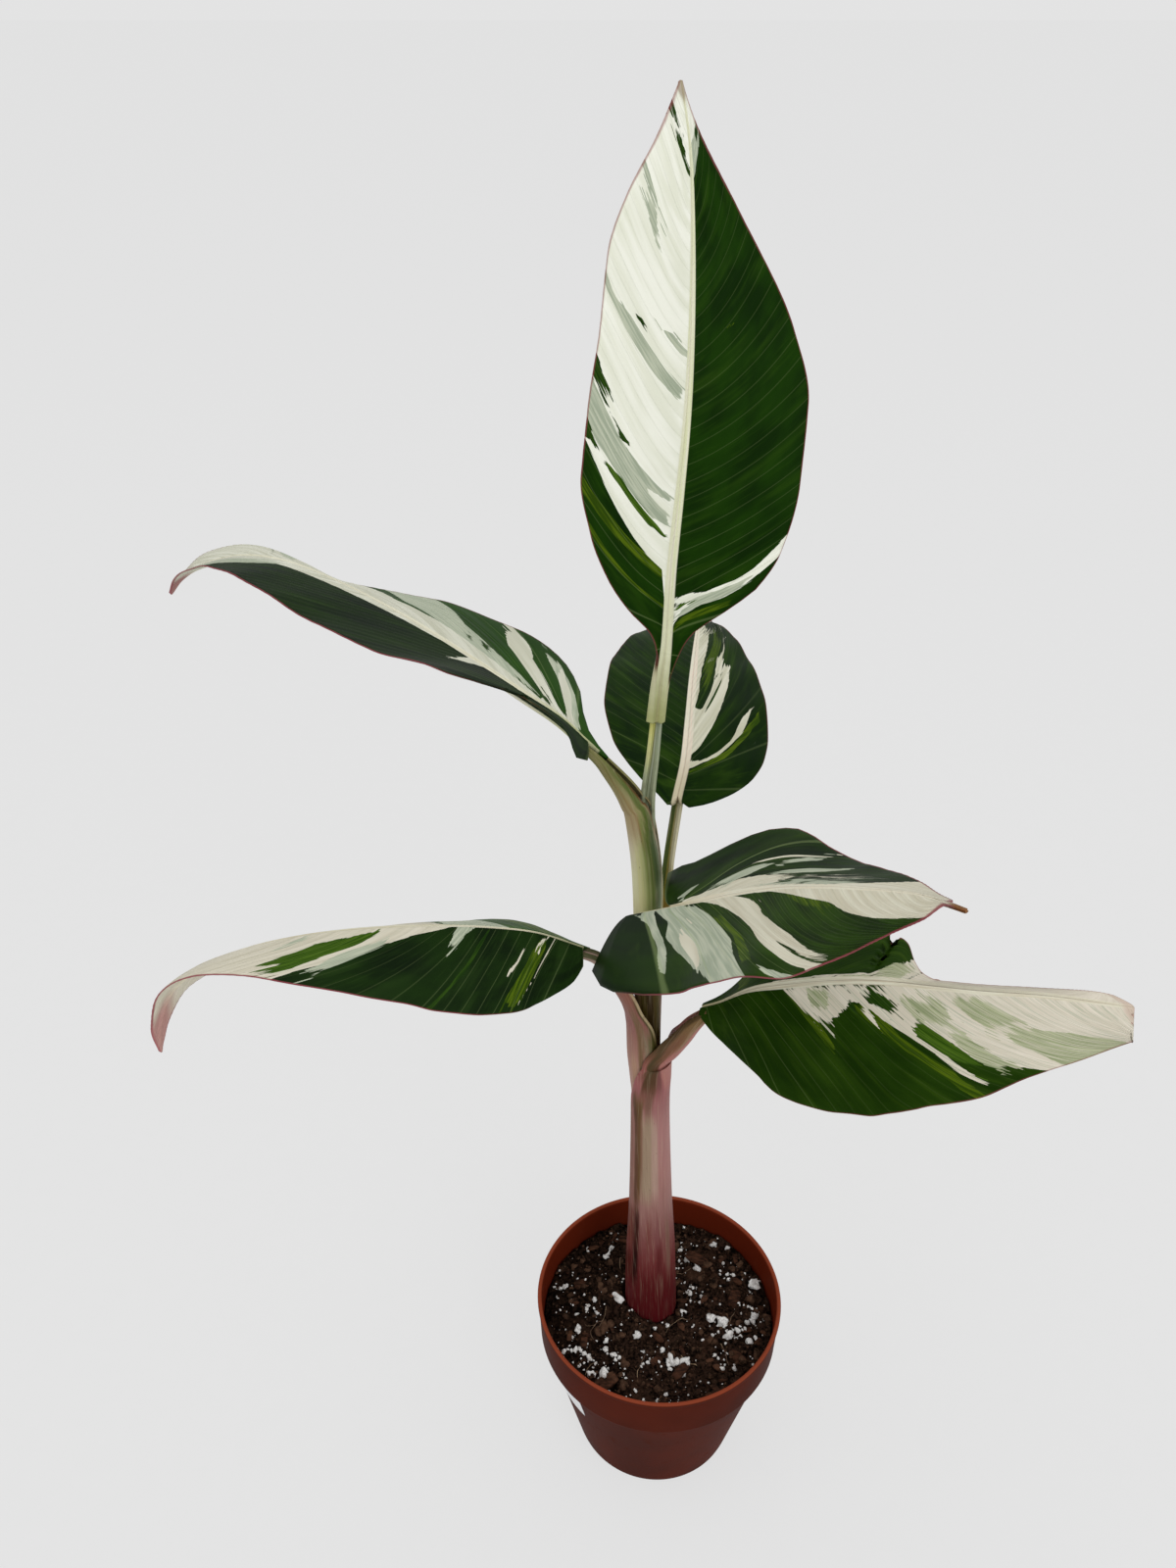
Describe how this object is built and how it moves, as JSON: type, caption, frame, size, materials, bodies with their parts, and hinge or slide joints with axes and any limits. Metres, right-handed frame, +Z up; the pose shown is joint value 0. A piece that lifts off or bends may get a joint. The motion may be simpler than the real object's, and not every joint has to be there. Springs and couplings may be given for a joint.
{
  "type": "potted variegated banana plant",
  "caption": "Young variegated banana plant with broad green and cream leaves on nested sheaths, standing in soil in a round tapered nursery pot.",
  "frame": {"origin": "centre of the pot's underside, on the surface that the pot stands on", "axes": "+Z up along the stem, +X to the right and -Y towards the viewer as seen from the front"},
  "size_m": [0.3276, 0.3113, 0.54],
  "materials": {
    "pot_plastic": "matte moulded brick brown",
    "potting_soil": "dark moist bark and peat mix with white perlite",
    "corm_flesh": "pale fibrous underground stem",
    "leafstalk": "satin pink, cream and olive stripes",
    "leaf_blade": "semi-gloss deep green with cream, sage and lime sectors"
  },
  "bodies": {
    "root": {"pot": "pot_plastic", "soil": "potting_soil", "corm": "corm_flesh", "lower_right_stalk": "leafstalk", "lower_left_stalk": "leafstalk", "front_stalk": "leafstalk", "rear_stalk": "leafstalk", "upper_left_stalk": "leafstalk", "top_stalk": "leafstalk", "lower_right_blade": "leaf_blade", "lower_left_blade": "leaf_blade", "front_blade": "leaf_blade", "rear_blade": "leaf_blade", "upper_left_blade": "leaf_blade", "top_blade": "leaf_blade"}
  },
  "joints": []
}
